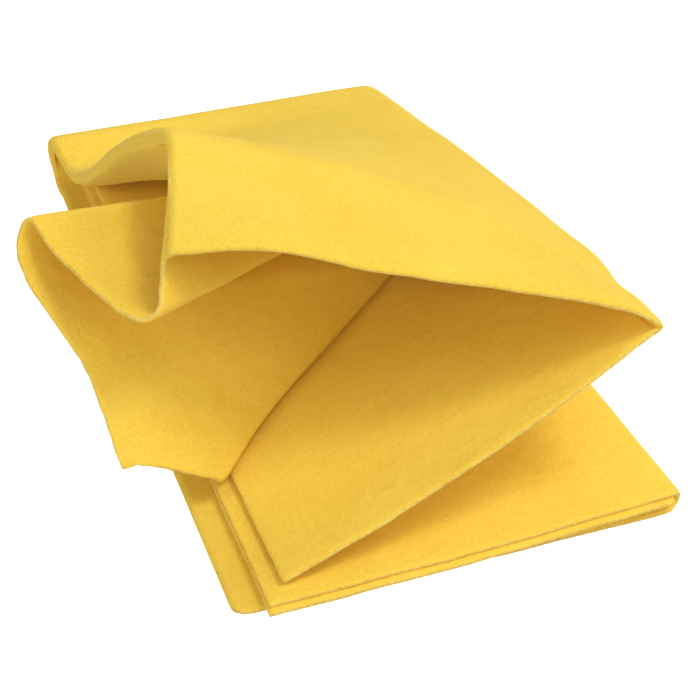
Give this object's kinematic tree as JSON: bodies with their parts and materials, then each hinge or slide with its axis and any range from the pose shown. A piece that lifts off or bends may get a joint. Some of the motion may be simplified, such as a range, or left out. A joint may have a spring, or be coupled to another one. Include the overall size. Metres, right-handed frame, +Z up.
{
  "type": "synthetic chamois cloth",
  "caption": "Yellow synthetic chamois cloth of needle felt, folded into a flat pack with its upper half pulled open into a mouth; panels turn on the fold lines.",
  "frame": {"origin": "middle of the pack's underside, on the surface that the cloth lies on", "axes": "+X along the front edge towards the right fold, +Y from the open front to the back fold, +Z up"},
  "size_m": [0.1289, 0.19, 0.0823],
  "materials": {
    "felt": "matte yellow needle felt with a fine fibrous grain"
  },
  "bodies": {
    "base_pack": {"base_panel": "felt", "base_fold_panel": "felt", "base_tucked_panel": "felt", "base_top_panel": "felt", "back_fold_lower": "felt"},
    "upper_pack": {"inner_panel": "felt", "back_fold_upper": "felt", "tucked_panel": "felt", "middle_panel": "felt", "tongue_panel": "felt"},
    "top_leaf": {"top_panel": "felt", "right_fold": "felt", "left_fold": "felt"},
    "side_flap": {"flap_panel": "felt", "flap_backing": "felt"}
  },
  "joints": [
    {"name": "back_fold_hinge", "type": "hinge", "parent": "base_pack", "child": "upper_pack", "pos_m": [0, 0.0952, 0.00685], "axis": [-1, 0, 0], "range_deg": [0, 110]},
    {"name": "right_fold_hinge", "type": "hinge", "parent": "upper_pack", "child": "top_leaf", "pos_m": [0.04495, -0.0885, 0.0479], "axis": [0.0124, 0.9763, -0.2159], "range_deg": [0, 25]},
    {"name": "flap_hinge", "type": "hinge", "parent": "upper_pack", "child": "side_flap", "pos_m": [-0.0593, -0.0249, 0.05815], "axis": [-0.8834, -0.3867, 0.2648], "range_deg": [0, 25]}
  ]
}
